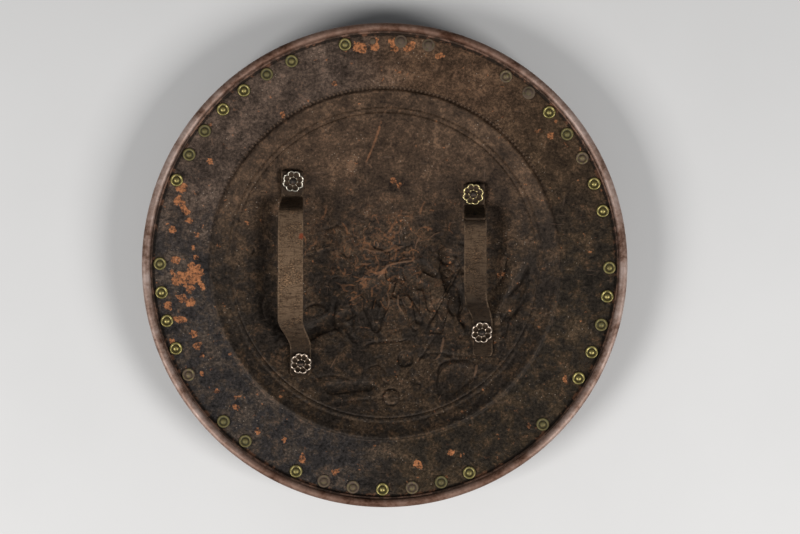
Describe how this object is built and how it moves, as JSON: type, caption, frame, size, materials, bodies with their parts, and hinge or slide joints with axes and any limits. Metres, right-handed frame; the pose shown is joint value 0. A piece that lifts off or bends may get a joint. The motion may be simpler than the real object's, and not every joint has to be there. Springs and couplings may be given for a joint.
{
  "type": "round iron shield",
  "caption": "Round dished iron shield with an embossed field, ring moulding, rolled rim edged with rosette washers, and two riveted leather straps across its hollow back.",
  "frame": {"origin": "middle of the flat roundel on the front that the shield rests on", "axes": "+Z out of the hollow back, +Y towards the upper ends of the two straps, +X from the arm strap to the hand strap"},
  "size_m": [0.57, 0.57, 0.0542],
  "materials": {
    "iron_plate": "dark brown and blue-grey patinated iron with orange rust, hammered and embossed from the back",
    "washer_brass": "dull green-brown to yellow brass, worn bright on the raised rings",
    "rosette_brass": "bronze-coloured cast brass petals, worn bright on their edges",
    "rivet_iron": "dark hammered iron rivet heads",
    "strap_leather": "old dry brown leather, cracked, worn pale along the edges"
  },
  "bodies": {
    "root": {"shield_plate": "iron_plate", "rim_rivet_01": "washer_brass", "rim_rivet_02": "washer_brass", "rim_rivet_03": "washer_brass", "rim_rivet_04": "washer_brass", "rim_rivet_05": "washer_brass", "rim_rivet_06": "washer_brass", "rim_rivet_07": "washer_brass", "rim_rivet_10": "washer_brass", "rim_rivet_11": "washer_brass", "rim_rivet_12": "washer_brass", "rim_rivet_13": "washer_brass", "rim_rivet_15": "washer_brass", "rim_rivet_16": "washer_brass", "rim_rivet_17": "washer_brass", "rim_rivet_18": "washer_brass", "rim_rivet_19": "washer_brass", "rim_rivet_20": "washer_brass", "rim_rivet_21": "washer_brass", "rim_rivet_24": "washer_brass", "rim_rivet_25": "washer_brass", "rim_rivet_26": "washer_brass", "rim_rivet_27": "washer_brass", "rim_rivet_28": "washer_brass", "rim_rivet_30": "washer_brass", "rim_rivet_31": "washer_brass", "rim_rivet_33": "washer_brass", "rim_rivet_34": "washer_brass", "rim_rivet_35": "washer_brass", "rim_rivet_36": "washer_brass", "rim_rivet_37": "washer_brass", "rim_rivet_38": "washer_brass", "rim_rivet_39": "washer_brass", "rim_rivet_42": "washer_brass", "rim_rivet_44": "washer_brass", "rim_rivet_45": "washer_brass", "rim_rivet_46": "washer_brass", "rim_rivet_47": "washer_brass", "rim_rivet_48": "washer_brass", "arm_strap": "strap_leather", "arm_rosette_upper": "rosette_brass", "arm_rivet_upper": "rivet_iron", "arm_rosette_lower": "rosette_brass", "arm_rivet_lower": "rivet_iron", "hand_strap": "strap_leather", "hand_rosette_upper": "rosette_brass", "hand_rivet_upper": "rivet_iron", "hand_rosette_lower": "rosette_brass", "hand_rivet_lower": "rivet_iron"}
  },
  "joints": []
}
